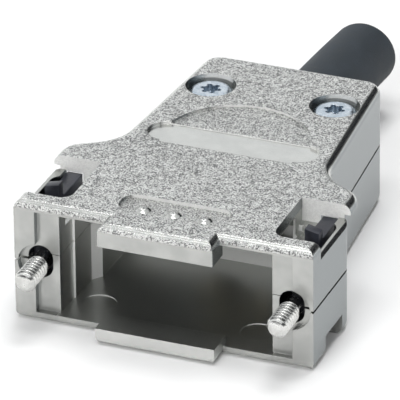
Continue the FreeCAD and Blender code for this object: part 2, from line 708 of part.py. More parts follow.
def clamp_half(foot_z, z0, z1):
    """Half of the strain relief: a round middle between z0 and z1, and two feet."""
    y0 = CLAMP_Y - CLAMP_WIDTH / 2
    y1 = CLAMP_Y + CLAMP_WIDTH / 2
    middle = along_y(0, CABLE_Z, y0, y1, CLAMP_RING_R)
    middle = middle.common(box(-CLAMP_RING_R, CLAMP_RING_R, y0, y1, z0, z1))
    feet = box(-CLAMP_FOOT_END, CLAMP_FOOT_END, y0, y1, foot_z, foot_z + CLAMP_THICKNESS)
    seat = along_y(0, CABLE_Z, y0 - OVER, y1 + OVER, FERRULE_R + FIT)
    holes = pair(upright(CLAMP_X, CLAMP_Y, 0, HOOD_HEIGHT, CLAMP_SCREW_R + SCREW_PLAY))
    return cut(join(middle, [feet]), [seat] + holes).removeSplitter()


def clamp_top():
    return clamp_half(UPPER_FOOT_Z, UPPER_FOOT_Z, CABLE_Z + CLAMP_RING_R)


def clamp_bottom():
    return clamp_half(LOWER_FOOT_Z, CABLE_Z - CLAMP_RING_R, LOWER_FOOT_Z + CLAMP_THICKNESS)


def clamp_screw(x):
    """Pan-headed screw with a cross recess, through both halves of the clamp."""
    seat = UPPER_FOOT_Z + CLAMP_THICKNESS
    top = seat + CLAMP_HEAD_HEIGHT
    head = upright(x, CLAMP_Y, seat, top, CLAMP_HEAD_R)
    head = head.makeFillet(CLAMP_HEAD_ROUND, rim_edges(head, [top]))
    shank = upright(x, CLAMP_Y, seat - CLAMP_SCREW_LENGTH, seat + ROOTED,
                    CLAMP_SCREW_R - THREAD_CLEARANCE)
    wide = CLAMP_RECESS_LENGTH / 2
    thin = CLAMP_RECESS_WIDTH / 2
    low = top - CLAMP_RECESS_DEPTH
    across = box(x - wide, x + wide, CLAMP_Y - thin, CLAMP_Y + thin, low, top + OVER)
    along = box(x - thin, x + thin, CLAMP_Y - wide, CLAMP_Y + wide, low, top + OVER)
    return cut(join(head, [shank]), [across, along])


def clamp_nut(x):
    body = hexagon(x, CLAMP_Y, LOWER_FOOT_Z - NUT_HEIGHT, LOWER_FOOT_Z, NUT_FLATS)
    bore = upright(x, CLAMP_Y, 0, HOOD_HEIGHT, CLAMP_SCREW_R)
    return body.cut(bore)


def make_parts():
    carrier = screw_carrier()
    return {
        "upper_shell": upper_shell(),
        "lower_shell": lower_shell(),
        "shell_screw_left": shell_screw(-SHELL_SCREW_X),
        "shell_screw_right": shell_screw(SHELL_SCREW_X),
        "jackscrew_left": jackscrew(-SCREW_X),
        "jackscrew_right": jackscrew(SCREW_X),
        "screw_carrier_left": mirrored(carrier),
        "screw_carrier_right": carrier,
        "cable_sleeve": cable_sleeve(),
        "cable_ferrule": cable_ferrule(),
        "clamp_top": clamp_top(),
        "clamp_bottom": clamp_bottom(),
        "clamp_screw_left": clamp_screw(-CLAMP_X),
        "clamp_screw_right": clamp_screw(CLAMP_X),
        "clamp_nut_left": clamp_nut(-CLAMP_X),
        "clamp_nut_right": clamp_nut(CLAMP_X),
    }


def main():
    os.makedirs("parts", exist_ok=True)
    for name, shape in make_parts().items():
        if len(shape.Solids) == 1:
            shape = shape.Solids[0]
        shape.translate(Vector(0, -CENTRE_Y, 0))
        shape.exportStep(f"parts/{name}.step")
        print(name, len(shape.Solids), "solid", round(shape.Volume, 2), "mm3", shape.isValid())


main()
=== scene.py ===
# %% [markdown]
# A metal hood for a D-sub plug.
# The solid model is finished before this script starts. It gives the exact shape of every
# piece: two cast shells, their screws, the sliding carriers and what clamps the cable.
# This script gives the surfaces their finish, cuts real threads on the jackscrews,
# softens the plastic's edges, lets the sleeve hang, and sets up a small studio.

import math

import bmesh
import bpy
from mathutils import Matrix, Vector


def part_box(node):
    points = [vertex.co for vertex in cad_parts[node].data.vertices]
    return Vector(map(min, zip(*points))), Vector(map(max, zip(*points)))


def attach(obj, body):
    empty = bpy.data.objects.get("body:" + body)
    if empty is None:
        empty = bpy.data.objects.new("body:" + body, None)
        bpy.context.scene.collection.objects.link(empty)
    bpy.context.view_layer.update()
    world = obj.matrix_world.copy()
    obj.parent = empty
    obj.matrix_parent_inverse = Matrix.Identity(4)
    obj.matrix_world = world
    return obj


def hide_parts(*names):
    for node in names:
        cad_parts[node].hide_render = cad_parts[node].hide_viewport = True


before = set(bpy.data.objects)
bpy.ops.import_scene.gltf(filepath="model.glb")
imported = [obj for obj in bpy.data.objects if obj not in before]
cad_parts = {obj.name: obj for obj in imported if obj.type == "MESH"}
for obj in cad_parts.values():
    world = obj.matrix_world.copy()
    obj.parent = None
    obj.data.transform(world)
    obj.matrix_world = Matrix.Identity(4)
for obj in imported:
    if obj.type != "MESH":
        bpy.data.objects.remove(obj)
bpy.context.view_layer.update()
MM = 0.001

# %% [markdown]
# Sizes that the camera, the masks and the new pieces share. The places come from the
# solids themselves. The plug face is 3 mm behind the front of the bottom tab.
# Sizes are in millimetres, and are turned into metres where a piece is made.

# %% Places measured on the solids
BOTTOM_TAB_REACH = 3.0
FRONT_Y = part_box("lower_shell")[0].y / MM + BOTTOM_TAB_REACH
REAR_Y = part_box("upper_shell")[1].y / MM
TOP_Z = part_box("upper_shell")[1].z / MM
print("plug face at", round(FRONT_Y, 2), "rear at", round(REAR_Y, 2), "top at", round(TOP_Z, 2))

# %% [markdown]
# A camera far away with a long lens keeps parallel edges almost parallel, as in a
# catalogue picture. The lens was found by matching corners of the hood in the picture:
# the camera stands 21.6 degrees round to the right of the plug face and 28 degrees up.
# It aims a little beside the hood's middle, because the picture isn't centred on it.

# %% Camera at the picture's viewing angle
CAMERA_AZIMUTH = math.radians(21.6)
CAMERA_ELEVATION = math.radians(27.95)
CAMERA_ROLL = math.radians(-0.62)
CAMERA_DISTANCE = 754.7 * MM
CAMERA_NEAR_LIMIT = 10 * MM
CAMERA_LENS = 540.0
CAMERA_TARGET = Vector((0, FRONT_Y + 20, 8)) * MM
FRAME_RIGHT = -2.77 * MM
FRAME_UP = 2.06 * MM


def camera_axes(backward, roll):
    """The camera's own right and up directions."""
    right = Vector((0, 0, 1)).cross(backward).normalized()
    up = backward.cross(right)
    turned_right = right * math.cos(roll) + up * math.sin(roll)
    turned_up = up * math.cos(roll) - right * math.sin(roll)
    return turned_right, turned_up


def make_camera():
    flat = math.cos(CAMERA_ELEVATION)
    outward = Vector((math.sin(CAMERA_AZIMUTH) * flat, -math.cos(CAMERA_AZIMUTH) * flat,
                      math.sin(CAMERA_ELEVATION)))
    place = CAMERA_TARGET + outward * CAMERA_DISTANCE
    right, up = camera_axes(outward, CAMERA_ROLL)
    aim = CAMERA_TARGET + right * FRAME_RIGHT + up * FRAME_UP
    backward = (place - aim).normalized()
    right, up = camera_axes(backward, CAMERA_ROLL)
    data = bpy.data.cameras.new("camera")
    data.lens = CAMERA_LENS
    data.clip_start = CAMERA_NEAR_LIMIT
    camera = bpy.data.objects.new("camera", data)
    turn = Matrix((right, up, backward)).transposed().to_4x4()
    camera.matrix_world = Matrix.Translation(place) @ turn
    bpy.context.scene.collection.objects.link(camera)
    bpy.context.scene.camera = camera
    return camera


camera = make_camera()
print("camera stands at", [round(value, 4) for value in camera.location])

# %% [markdown]
# Every material below is a small network of nodes. A few helpers keep the networks short:
# they make a node and fill or wire its inputs, blend and multiply values, and start or
# finish a material.

# %% Helpers for node trees
SOFT_EDGE = 0.12
SOFT_EDGE_SAMPLES = 6


def fill(tree, socket, value):
    """Give an input a value, or wire it to another node's output."""
    if isinstance(value, bpy.types.NodeSocket):
        tree.links.new(value, socket)
    else:
        socket.default_value = value


def add(tree, kind, inputs=None, **settings):
    """Make a node. An input is either a value or another node's output."""
    made = tree.nodes.new(kind)
    for name, value in settings.items():
        setattr(made, name, value)
    for name, value in (inputs or {}).items():
        fill(tree, made.inputs[name], value)
    return made


def math_node(tree, operation, first, second=0.0, third=0.0, clamp=False):
    inputs = {0: first, 1: second, 2: third}
    return add(tree, "ShaderNodeMath", inputs, operation=operation, use_clamp=clamp).outputs[0]


def product(tree, first, *others):
    """All the values multiplied. A product of masks is 1 where each of them is."""
    result = first
    for value in others:
        result = math_node(tree, "MULTIPLY", result, value)
    return result


def split(tree, vector):
    made = add(tree, "ShaderNodeSeparateXYZ", {0: vector})
    return made.outputs[0], made.outputs[1], made.outputs[2]


def smooth_step(tree, value, low, high, start=0.0, end=1.0):
    """From start to end with soft ends, while the value goes from low to high."""
    inputs = {"Value": value, "From Min": low, "From Max": high, "To Min": start, "To Max": end}
    made = add(tree, "ShaderNodeMapRange", inputs, interpolation_type="SMOOTHSTEP")
    return made.outputs["Result"]


def mix(tree, data_type, kind, factor, first, second):
    """Blend two values. The node has sockets of every kind, so an identifier picks them."""
    made = add(tree, "ShaderNodeMix", data_type=data_type)
    sockets = {socket.identifier: socket for socket in made.inputs}
    for name, value in (("Factor_Float", factor), ("A_" + kind, first), ("B_" + kind, second)):
        fill(tree, sockets[name], value)
    return next(socket for socket in made.outputs if socket.identifier == "Result_" + kind)


def mix_colour(tree, factor, first, second):
    return mix(tree, "RGBA", "Color", factor, first, second)


def mix_number(tree, factor, first, second):
    return mix(tree, "FLOAT", "Float", factor, first, second)


def in_millimetres(tree):
    """Places on the object in millimetres, so that patterns have their real size."""
    place = add(tree, "ShaderNodeTexCoord")
    scaled = add(tree, "ShaderNodeVectorMath", {0: place.outputs["Object"], 3: 1 / MM},
                 operation="SCALE")
    return scaled.outputs[0], place.outputs["Normal"]


def noise(tree, place, per_mm, detail=2.0, roughness=0.5):
    made = add(tree, "ShaderNodeTexNoise",
               {"Vector": place, "Scale": per_mm, "Detail": detail, "Roughness": roughness})
    return made.outputs["Fac"]


def start_material(name):
    material = bpy.data.materials.new(name)
    material.use_nodes = True
    tree = material.node_tree
    tree.nodes.clear()
    shader = add(tree, "ShaderNodeBsdfPrincipled")
    output = add(tree, "ShaderNodeOutputMaterial")
    tree.links.new(shader.outputs[0], output.inputs["Surface"])
    return material, tree, shader


def wire(tree, shader, colour, roughness, height, depth_mm):
    """Connect a finish to its shader: colour, roughness, soft edges and a bump."""
    edge = add(tree, "ShaderNodeBevel", {"Radius": SOFT_EDGE * MM}, samples=SOFT_EDGE_SAMPLES)
    bump = add(tree, "ShaderNodeBump", {"Height": height, "Distance": depth_mm * MM,
                                        "Normal": edge.outputs[0]})
    for name, value in (("Base Color", colour), ("Roughness", roughness),
                        ("Normal", bump.outputs[0])):
        tree.links.new(value, shader.inputs[name])


# %% [markdown]
# The shells are die-cast zinc with a thin plating of nickel. The top was eroded in the
# mould, so it is covered with tiny pits that sparkle, while the sides, the front and the
# label's field are smooth. The sparkle comes partly from the bump and partly from painted
# colour: dark pits are painted shade and bright grains are painted sparkle. One material can
# do both: masks made from the place and from the direction that the surface faces choose
# between a coarse and a smooth finish, and where painted shade and painted highlights go.
# Each pair below says where a mask is 0 and where it is 1, either as a place in
# millimetres or as a part of the surface's direction.

# %% Sizes that the masks use
BAND_Y = FRONT_Y + 24.1
BAND_HALF_LENGTH = 22.9 / 2
BAND_HALF_WIDTH = 5.1 / 2
BAND_EDGE = (0.0, 0.12)

CHAMBER_HALF_WIDTH = 14.3
WAIST_Y = FRONT_Y + 20.2
WALL_MIDDLE = 13.35
SIDE_SLOPE = 0.0774
CHAMBER_SIDE_DEPTH = (0.0, 0.2)
CHAMBER_FRONT_Y = (FRONT_Y + 0.6, FRONT_Y + 2.1)
CHAMBER_REAR_Y = (REAR_Y - 1.1, REAR_Y - 1.6)
CHAMBER_FLOOR_Z = (0.9, 1.2)
CHAMBER_TOP_Z = (15.3, 15.0)

TOP_FACE_Z = (TOP_Z - 1.6, TOP_Z - 1.4)
WINDOW_WALL_Y = (FRONT_Y + 12.4, FRONT_Y + 12.7)
WINDOW_WALL_X = (12.8, 13.2)
WINDOW_WALL_Z = (TOP_Z - 3.6, TOP_Z - 3.4)
RECESS_WALL_Y = (FRONT_Y + 2.0, FRONT_Y + 2.5)
RECESS_WALL_Z = (TOP_Z - 0.7, TOP_Z - 0.5)
BOTTOM_TAB_Y = (FRONT_Y - 0.1, FRONT_Y - 0.5)
SILL_X = (CHAMBER_HALF_WIDTH + 0.1, CHAMBER_HALF_WIDTH)
SILL_Y = (FRONT_Y + 2.6, FRONT_Y + 2.0)
LOW_Z = (4.0, 3.5)

FACES_UP = (0.90, 0.98)
FACES_FRONT = (-0.7, -0.9)
FACES_SIDE = (0.75, 0.95)
EDGE_FACES_FRONT = (-0.70, -0.80)
EDGE_FACES_UP = (0.10, 0.25)
SHOULDER_FACES_FRONT = (-0.5, -0.58)
# Share of painted highlight on the bottom tab's front.
TAB_PAINTED_HIGHLIGHT = 0.35
print("label field's middle at", round(BAND_Y, 2), "mm")

# %% Masks for the shells


def band_distance(tree, x, y):
    """Distance in mm from the obround label field, below 0 inside it."""
    run = math_node(tree, "SUBTRACT", math_node(tree, "ABSOLUTE", x),
                    BAND_HALF_LENGTH - BAND_HALF_WIDTH)
    along = math_node(tree, "MAXIMUM", run, 0.0)
    across = math_node(tree, "SUBTRACT", y, BAND_Y)
    squares = math_node(tree, "ADD", product(tree, along, along),
                        product(tree, across, across))
    return math_node(tree, "SUBTRACT", math_node(tree, "SQRT", squares), BAND_HALF_WIDTH)


def inside_mask(tree, x, y, z):
    """1 within the hood's hollow, 0 outside it."""
    taper = math_node(tree, "MULTIPLY_ADD", y, -SIDE_SLOPE, WALL_MIDDLE + SIDE_SLOPE * WAIST_Y)
    limit = math_node(tree, "MINIMUM", taper, CHAMBER_HALF_WIDTH)
    depth = math_node(tree, "SUBTRACT", limit, math_node(tree, "ABSOLUTE", x))
    return product(tree, smooth_step(tree, depth, *CHAMBER_SIDE_DEPTH),
                   smooth_step(tree, y, *CHAMBER_FRONT_Y), smooth_step(tree, y, *CHAMBER_REAR_Y),
                   smooth_step(tree, z, *CHAMBER_FLOOR_Z), smooth_step(tree, z, *CHAMBER_TOP_Z))


def bottom_tab_mask(tree, y, z):
    """1 on the tab that reaches forward from the lower shell."""
    return product(tree, smooth_step(tree, y, *BOTTOM_TAB_Y), smooth_step(tree, z, *LOW_Z))


def sill_mask(tree, x, y, z):
    """1 on the mouth's floor beside the plug face and on the tab in front of it."""
    middle = smooth_step(tree, math_node(tree, "ABSOLUTE", x), *SILL_X)
    return product(tree, smooth_step(tree, y, *SILL_Y), smooth_step(tree, z, *LOW_Z), middle)


def coarse_masks(tree, x, y, z, facing_y, facing_z):
    """Two masks of eroded faces: the top with its front edge, and front-facing walls in it."""
    edge = product(tree, smooth_step(tree, facing_y, *EDGE_FACES_FRONT),
                   smooth_step(tree, facing_z, *EDGE_FACES_UP))
    upward = math_node(tree, "MAXIMUM", smooth_step(tree, facing_z, *FACES_UP), edge)
    clear = smooth_step(tree, band_distance(tree, x, y), *BAND_EDGE)
    top = product(tree, upward, smooth_step(tree, z, *TOP_FACE_Z), clear)
    forward = smooth_step(tree, facing_y, *FACES_FRONT)
    ears = smooth_step(tree, math_node(tree, "ABSOLUTE", x), *WINDOW_WALL_X)
    window = product(tree, forward, smooth_step(tree, y, *WINDOW_WALL_Y), ears,
                     smooth_step(tree, z, *WINDOW_WALL_Z))
    recess = product(tree, forward, smooth_step(tree, z, *RECESS_WALL_Z),
                     smooth_step(tree, y, *RECESS_WALL_Y))
    return top, math_node(tree, "MAXIMUM", window, recess)


def zinc_masks(tree, place, normal):
    """Where each finish of the shells goes, with painted shade and painted highlights, by the
    name of the area.
    """
    x, y, z = split(tree, place)
    facing_x, facing_y, facing_z = split(tree, normal)
    top, wall = coarse_masks(tree, x, y, z, facing_y, facing_z)
    forward = smooth_step(tree, facing_y, *FACES_FRONT)
    not_forward = math_node(tree, "SUBTRACT", 1.0, forward)
    chamber = inside_mask(tree, x, y, z)
    sill = sill_mask(tree, x, y, z)
    hollow = math_node(tree, "MAXIMUM", chamber, sill)
    # The bottom tab's front gets part of the painted highlight.
    tab = product(tree, bottom_tab_mask(tree, y, z), TAB_PAINTED_HIGHLIGHT)
    # Front-facing faces in the hollow, its shoulders and the bottom tab, painted near white as a
    # painted highlight.
    shoulder = product(tree, chamber, smooth_step(tree, facing_y, *SHOULDER_FACES_FRONT))
    step = product(tree, math_node(tree, "MAXIMUM", chamber, tab),
                   math_node(tree, "MAXIMUM", forward, shoulder))
    field = smooth_step(tree, band_distance(tree, x, y), *reversed(BAND_EDGE))
    return {
        "coarse": math_node(tree, "MAXIMUM", top, wall),
        "wall": wall,
        "forward": forward,
        # Faces turned to the side, which are painted darker as shade.
        "painted_side_shade": smooth_step(tree, math_node(tree, "ABSOLUTE", facing_x), *FACES_SIDE),
        "inside": product(tree, hollow, not_forward),
        "sill": product(tree, sill, not_forward),
        "step": step,
        "field": product(tree, field, smooth_step(tree, z, *TOP_FACE_Z)),
    }


# %% [markdown]
# The masks then choose colours, gloss and how metallic a face renders. Steps and walls
# that face the front get a near-white painted highlight and render almost as paint, because
# the picture shows them evenly bright. Faces turned to the side get painted shade.

# %% Plated zinc
NICKEL_DARK = (0.44, 0.445, 0.43, 1)
NICKEL_PALE = (0.52, 0.525, 0.505, 1)
# Colour of faces turned to the side: painted shade.
NICKEL_SIDE_PAINTED_SHADE = (0.25, 0.27, 0.275, 1)
NICKEL_PEAK = (0.98, 0.98, 0.96, 1)
# Dark pits and bright grains of the coarse finish: painted shade and painted sparkle.
NICKEL_PIT_PAINTED_SHADE = (0.17, 0.17, 0.17, 1)
NICKEL_GRAIN_PAINTED_SPARKLE = (0.87, 0.87, 0.85, 1)
NICKEL_INSIDE = (0.49, 0.50, 0.48, 1)
FIELD_PALENESS = 0.3
# Share of painted highlight on front-facing walls in the ears and the recess.
WALL_PAINTED_HIGHLIGHT = 0.85

FRONT_METAL = 0.5
INSIDE_METAL = 0.93
SILL_METAL = 0.95
STEP_METAL = 0.12
WALL_METAL = 0.05

GRAINS_PER_MM = 5.2
GRAIN_ROUGHNESS = 0.7
PATCHES_PER_MM = 1.3
PATCH_SHARE = 0.25
RIPPLES_PER_MM = 0.35
DUST_PER_MM = 6.0
DUST_ROUGHNESS = 0.6
SPECKLE = (0.41, 0.57)
MIDDLE = (0.3, 0.7)

SMOOTH_ROUGHNESS = (0.20, 0.27)
COARSE_ROUGHNESS = (0.42, 0.26)
INSIDE_ROUGHNESS = 0.34
RIPPLE_HEIGHT = 0.12
DUST_HEIGHT = 0.012
PIT_DEPTH = 0.13


def zinc_colour(tree, masks, speckle_and_painted_sparkle, cloud):
    # Coarse speckle: dark pits are painted shade, bright grains are painted sparkle.
    coarse = mix_colour(tree, speckle_and_painted_sparkle, NICKEL_PIT_PAINTED_SHADE, NICKEL_GRAIN_PAINTED_SPARKLE)
    # Front-facing walls are painted towards near white: a painted highlight.
    wall = product(tree, masks["wall"], WALL_PAINTED_HIGHLIGHT)
    coarse = mix_colour(tree, wall, coarse, NICKEL_PEAK)
    smooth = mix_colour(tree, cloud, NICKEL_DARK, NICKEL_PALE)
    # Faces turned to the side get a darker colour: painted shade.
    smooth = mix_colour(tree, masks["painted_side_shade"], smooth, NICKEL_SIDE_PAINTED_SHADE)
    field = product(tree, masks["field"], FIELD_PALENESS)
    smooth = mix_colour(tree, field, smooth, NICKEL_PEAK)
    colour = mix_colour(tree, masks["coarse"], smooth, coarse)
    colour = mix_colour(tree, masks["inside"], colour, NICKEL_INSIDE)
    # Front-facing steps in the hollow and the bottom tab are painted near white: a painted
    # highlight.
    return mix_colour(tree, masks["step"], colour, NICKEL_PEAK)


def zinc_metal(tree, masks):
    metal = mix_number(tree, masks["forward"], 1.0, FRONT_METAL)
    for area, share in (("inside", INSIDE_METAL), ("sill", SILL_METAL),
                        ("step", STEP_METAL), ("wall", WALL_METAL)):
        metal = mix_number(tree, masks[area], metal, share)
    return metal


def make_plated_zinc():
    material, tree, shader = start_material("plated_zinc")
    place, normal = in_millimetres(tree)
    masks = zinc_masks(tree, place, normal)
    grain = noise(tree, place, GRAINS_PER_MM, roughness=GRAIN_ROUGHNESS)
    patch = noise(tree, place, PATCHES_PER_MM)
    ripple = noise(tree, place, RIPPLES_PER_MM)
    dust = noise(tree, place, DUST_PER_MM, roughness=DUST_ROUGHNESS)
    patchy = math_node(tree, "MULTIPLY_ADD", patch, PATCH_SHARE, -PATCH_SHARE / 2)
    # Speckle of the eroded grain, coloured as painted shade in pits and painted sparkle on
    # grains.
    speckle_and_painted_sparkle = smooth_step(tree, math_node(tree, "ADD", grain, patchy), *SPECKLE)
    cloud = smooth_step(tree, ripple, *MIDDLE)
    smooth = smooth_step(tree, dust, *MIDDLE, *SMOOTH_ROUGHNESS)
    smooth = mix_number(tree, masks["inside"], smooth, INSIDE_ROUGHNESS)
    coarse = smooth_step(tree, grain, *MIDDLE, *COARSE_ROUGHNESS)
    roughness = mix_number(tree, masks["coarse"], smooth, coarse)
    waves = math_node(tree, "ADD", product(tree, ripple, RIPPLE_HEIGHT),
                      product(tree, dust, DUST_HEIGHT))
    height = mix_number(tree, masks["coarse"], waves, grain)
    wire(tree, shader, zinc_colour(tree, masks, speckle_and_painted_sparkle, cloud), roughness, height, PIT_DEPTH)
    tree.links.new(zinc_metal(tree, masks), shader.inputs["Metallic"])
    return material


plated_zinc = make_plated_zinc()

# %% [markdown]
# The other metals are turned or stamped: bright zinc-plated screws, nickel-plated
# jackscrews, clamp plates of plain plated steel and a brass ferrule. Each has a slightly
# cloudy plating, fine tool marks in the bump, and its own gloss.

# %% Turned and stamped metals
CLOUDS_PER_MM = 0.9
WIDE_MIDDLE = (0.25, 0.75)
ROUGHNESS_SPREAD = 0.12


def make_metal(name, dark, bright, roughness, marks_per_mm, mark_depth):
    """A plated metal: cloudy colour, uneven gloss and fine tool marks."""
    material, tree, shader = start_material(name)
    place, _ = in_millimetres(tree)
    cloud = noise(tree, place, CLOUDS_PER_MM, detail=3.0, roughness=0.6)
    marks = noise(tree, place, marks_per_mm)
    colour = mix_colour(tree, smooth_step(tree, cloud, *MIDDLE), dark, bright)
    uneven = smooth_step(tree, cloud, *WIDE_MIDDLE, roughness, roughness + ROUGHNESS_SPREAD)
    wire(tree, shader, colour, uneven, marks, mark_depth)
    shader.inputs["Metallic"].default_value = 1.0
    return material


screw_steel = make_metal("screw_steel", (0.44, 0.51, 0.58, 1), (0.68, 0.74, 0.80, 1),
                         roughness=0.20, marks_per_mm=5.0, mark_depth=0.015)
jackscrew_steel = make_metal("jackscrew_steel", (0.58, 0.58, 0.56, 1), (0.76, 0.76, 0.74, 1),
                             roughness=0.18, marks_per_mm=5.0, mark_depth=0.015)
clamp_steel = make_metal("clamp_steel", (0.44, 0.44, 0.44, 1), (0.62, 0.62, 0.61, 1),
                         roughness=0.28, marks_per_mm=4.0, mark_depth=0.02)
ferrule_brass = make_metal("ferrule_brass", (0.46, 0.39, 0.24, 1), (0.64, 0.56, 0.38, 1),
                           roughness=0.22, marks_per_mm=5.0, mark_depth=0.015)

# %% [markdown]
# The carriers are moulded from black plastic and the cable sleeve from dark grey rubber.
# Neither is truly black: moulded plastic keeps a soft sheen, and rubber scatters light in
# its fine grain, with a paler bloom where it was handled.

# %% Plastic and rubber
BLOOMS_PER_MM = 0.45
BLOOM_COLOUR = (0.35, 0.7)


def make_moulded(name, dark, pale, roughness, grain_per_mm, grain_depth):
    """A moulded surface: faint bloom in the colour and a fine grain in the bump."""
    material, tree, shader = start_material(name)
    place, _ = in_millimetres(tree)
    bloom = noise(tree, place, BLOOMS_PER_MM, detail=4.0, roughness=0.6)
    grain = noise(tree, place, grain_per_mm, roughness=0.6)
    colour = mix_colour(tree, smooth_step(tree, bloom, *BLOOM_COLOUR), dark, pale)
    uneven = smooth_step(tree, bloom, *MIDDLE, *roughness)
    wire(tree, shader, colour, uneven, grain, grain_depth)
    return material


carrier_plastic = make_moulded("carrier_plastic", (0.018, 0.019, 0.026, 1),
                               (0.034, 0.037, 0.050, 1), roughness=(0.32, 0.45),
                               grain_per_mm=5.0, grain_depth=0.02)
sleeve_rubber = make_moulded("sleeve_rubber", (0.020, 0.026, 0.032, 1),
                             (0.034, 0.042, 0.051, 1), roughness=(0.62, 0.78),
                             grain_per_mm=4.0, grain_depth=0.05)

# %% [markdown]
# The finishes go on the solid pieces through their material slots. The shape of a solid
# piece stays as it is.

# %% Finishes on the solid pieces
FINISHES = {
    "upper_shell": plated_zinc,
    "lower_shell": plated_zinc,
    "shell_screw": screw_steel,
    "clamp_screw": screw_steel,
    "jackscrew": jackscrew_steel,
    "screw_carrier": carrier_plastic,
    "cable_sleeve": sleeve_rubber,
    "cable_ferrule": ferrule_brass,
    "clamp_top": clamp_steel,
    "clamp_bottom": clamp_steel,
    "clamp_nut": clamp_steel,
}

for node_name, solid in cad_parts.items():
    base = node_name.removesuffix("_left").removesuffix("_right")
    solid.data.materials.clear()
    solid.data.materials.append(FINISHES[base])
print(len(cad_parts), "solid pieces have their finish")

# %% [markdown]
# Three kinds of piece get a finer shape than the solids have. Each new piece takes its
# solid's place and moves with the same body. The threads and the carriers stay within
# their solids' outline. The sleeve's free end leaves its own by up to 0.9 mm.
# A copied mesh is first merged: its triangles are stitched together where they meet.

# %% Helpers for finer pieces
MERGE_DISTANCE = 0.001
SMOOTH_ANGLE = math.radians(35)


def merged_copy(node_name):
    """Copy of a solid's mesh with its triangles stitched together."""
    work = bmesh.new()
    work.from_mesh(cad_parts[node_name].data)
    bmesh.ops.remove_doubles(work, verts=work.verts, dist=MERGE_DISTANCE * MM)
    return work


def object_from(work, name):
    mesh = bpy.data.meshes.new(name)
    work.to_mesh(mesh)
    work.free()
    made = bpy.data.objects.new(name, mesh)
    bpy.context.scene.collection.objects.link(made)
    return made


def apply_modifiers(piece):
    """Replace the piece's mesh with what its modifiers make of it."""
    bpy.context.view_layer.update()
    evaluated = piece.evaluated_get(bpy.context.evaluated_depsgraph_get())
    mesh = bpy.data.meshes.new_from_object(evaluated)
    piece.modifiers.clear()
    piece.data = mesh


def take_place(piece, node_name, body):
    """Let a new piece stand in for a solid: same body, same material slot."""
    piece.data.set_sharp_from_angle(angle=SMOOTH_ANGLE)
    for face in piece.data.polygons:
        face.use_smooth = True
    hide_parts(node_name)
    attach(piece, body)
    print(piece.name, len(piece.data.polygons), "faces")


# %% [markdown]
# The jackscrews have a 4-40 thread: 40 turns to the inch is one turn every 0.635 mm.
# A small geometry tree makes it. It starts with a cylinder of many rings, then moves
# each point in or out. How far depends on one number, the point's phase: its distance
# from the tip counted in turns, less its angle counted in turns. That draws a right-hand
# spiral. The tip is narrowed to a cone, so that the screw finds its hole.
# The tree joins the thread to the plain rest of the screw and gives both their finish.

# %% Thread tree
THREAD_INPUTS = [
    ("Radius", "NodeSocketFloat"), ("Depth", "NodeSocketFloat"), ("Pitch", "NodeSocketFloat"),
    ("Length", "NodeSocketFloat"), ("Tip", "NodeSocketFloat"), ("Sides", "NodeSocketInt"),
    ("Rings", "NodeSocketInt"), ("Place", "NodeSocketVector"), ("Finish", "NodeSocketMaterial"),
]
CREST = 0.12


def thread_radius(tree, given, x, y, from_tip):
    """Distance from the axis for a point of the thread."""
    turns = math_node(tree, "DIVIDE", from_tip, given["Pitch"])
    angle = math_node(tree, "DIVIDE", math_node(tree, "ARCTAN2", y, x), 2 * math.pi)
    phase = math_node(tree, "FRACT", math_node(tree, "SUBTRACT", turns, angle))
    wave = math_node(tree, "ABSOLUTE", math_node(tree, "MULTIPLY_ADD", phase, 2.0, -1.0))
    groove = math_node(tree, "DIVIDE", math_node(tree, "SUBTRACT", wave, CREST),
                       1 - 2 * CREST, clamp=True)
    sunk = product(tree, groove, given["Depth"])
    radius = math_node(tree, "SUBTRACT", given["Radius"], sunk)
    cone = math_node(tree, "ADD", math_node(tree, "SUBTRACT", given["Radius"], given["Tip"]),
                     from_tip)
    return math_node(tree, "MINIMUM", radius, cone)


def make_thread_tree():
    tree = bpy.data.node_groups.new("jackscrew_thread", "GeometryNodeTree")
    tree.interface.new_socket("Geometry", in_out="INPUT", socket_type="NodeSocketGeometry")
    for name, kind in THREAD_INPUTS:
        tree.interface.new_socket(name, in_out="INPUT", socket_type=kind)
    tree.interface.new_socket("Geometry", in_out="OUTPUT", socket_type="NodeSocketGeometry")
    given = add(tree, "NodeGroupInput").outputs
    tube = add(tree, "GeometryNodeMeshCylinder",
               {"Vertices": given["Sides"], "Side Segments": given["Rings"],
                "Radius": given["Radius"], "Depth": given["Length"]}, fill_type="NGON")
    x, y, z = split(tree, add(tree, "GeometryNodeInputPosition").outputs[0])
    from_tip = math_node(tree, "ADD", z, product(tree, given["Length"], 0.5))
    radius = thread_radius(tree, given, x, y, from_tip)
    scale = math_node(tree, "DIVIDE", radius, given["Radius"])
    moved = add(tree, "ShaderNodeCombineXYZ",
                {0: product(tree, x, scale), 1: product(tree, y, scale), 2: z})
    shaped = add(tree, "GeometryNodeSetPosition",
                 {"Geometry": tube.outputs["Mesh"], "Position": moved.outputs[0]})
    placed = add(tree, "GeometryNodeTransform",
                 {"Geometry": shaped.outputs[0], "Translation": given["Place"],
                  "Rotation": (-math.pi / 2, 0, 0)})
    joined = add(tree, "GeometryNodeJoinGeometry")
    tree.links.new(given["Geometry"], joined.inputs[0])
    tree.links.new(placed.outputs[0], joined.inputs[0])
    real = add(tree, "GeometryNodeRealizeInstances", {"Geometry": joined.outputs[0]})
    finished = add(tree, "GeometryNodeSetMaterial",
                   {"Geometry": real.outputs[0], "Material": given["Finish"]})
    output = add(tree, "NodeGroupOutput")
    tree.links.new(finished.outputs[0], output.inputs[0])
    return tree


def set_inputs(modifier, values):
    """Fill a geometry tree's inputs by name, before it runs for the first time."""
    for socket in modifier.node_group.interface.items_tree:
        if socket.in_out == "INPUT" and socket.name in values:
            modifier[socket.identifier] = values[socket.name]


thread_tree = make_thread_tree()
print("thread tree has", len(thread_tree.nodes), "nodes")

